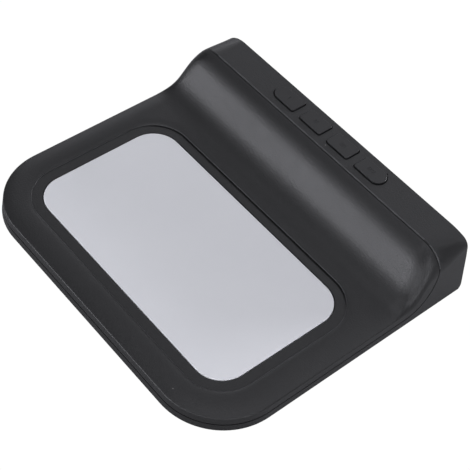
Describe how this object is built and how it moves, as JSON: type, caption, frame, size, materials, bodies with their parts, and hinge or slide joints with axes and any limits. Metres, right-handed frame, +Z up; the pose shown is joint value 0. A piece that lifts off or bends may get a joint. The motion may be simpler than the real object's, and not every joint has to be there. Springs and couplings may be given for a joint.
{
  "type": "digital alarm clock",
  "caption": "Low digital alarm clock: a display ridge with a row of press keys on top flows down in a wave to a flat deck that holds a round-cornered charging mat.",
  "frame": {"origin": "centre of the bounding box at table level, under the rubber feet", "axes": "+Z up, display face toward -Y, long side of the clock along X"},
  "size_m": [0.1806, 0.153, 0.0348],
  "materials": {
    "housing": "fine-grained matte black moulded plastic",
    "mat": "satin light grey top sheet",
    "lens": "smoked gloss acrylic",
    "key": "fine-grained matte black moulded plastic",
    "board": "green solder mask",
    "black_part": "black component bodies",
    "ribbon": "thin flexible film",
    "white_part": "white moulded reflector",
    "segment": "tinted translucent light pipes",
    "cell": "satin metal",
    "screw": "plain steel",
    "copper": "enamelled copper winding",
    "ferrite": "dark ferrite sheet",
    "socket": "stamped metal shell",
    "rubber": "soft black rubber"
  },
  "bodies": {
    "housing": {"upper_shell": "housing", "lower_shell": "housing", "charging_mat": "mat", "display_lens": "lens", "key_board": "board", "tactile_switches": "black_part", "key_ribbon": "ribbon", "display_reflector": "white_part", "digit_segments": "segment", "display_board": "board", "main_board": "board", "main_components": "black_part", "buzzer": "black_part", "cell_holder": "black_part", "coin_cell": "cell", "battery_door": "housing", "door_screw": "screw", "charging_coil": "copper", "ferrite_sheet": "ferrite", "charger_board": "board", "charger_components": "black_part", "power_socket": "socket", "rubber_feet": "rubber", "housing_screws": "screw"},
    "button_1": {"button_1": "key"},
    "button_2": {"button_2": "key"},
    "button_3": {"button_3": "key"},
    "button_4": {"button_4": "key"}
  },
  "joints": [
    {"name": "button_1_press", "type": "slide", "parent": "housing", "child": "button_1", "axis": [0, 0, -1], "range_m": [0, 0.0005], "stiffness_N_per_m": 800, "springref_m": -0.0006},
    {"name": "button_2_press", "type": "slide", "parent": "housing", "child": "button_2", "axis": [0, 0, -1], "range_m": [0, 0.0005], "stiffness_N_per_m": 800, "springref_m": -0.0006},
    {"name": "button_3_press", "type": "slide", "parent": "housing", "child": "button_3", "axis": [0, 0, -1], "range_m": [0, 0.0005], "stiffness_N_per_m": 800, "springref_m": -0.0006},
    {"name": "button_4_press", "type": "slide", "parent": "housing", "child": "button_4", "axis": [0, 0, -1], "range_m": [0, 0.0005], "stiffness_N_per_m": 800, "springref_m": -0.0006}
  ]
}
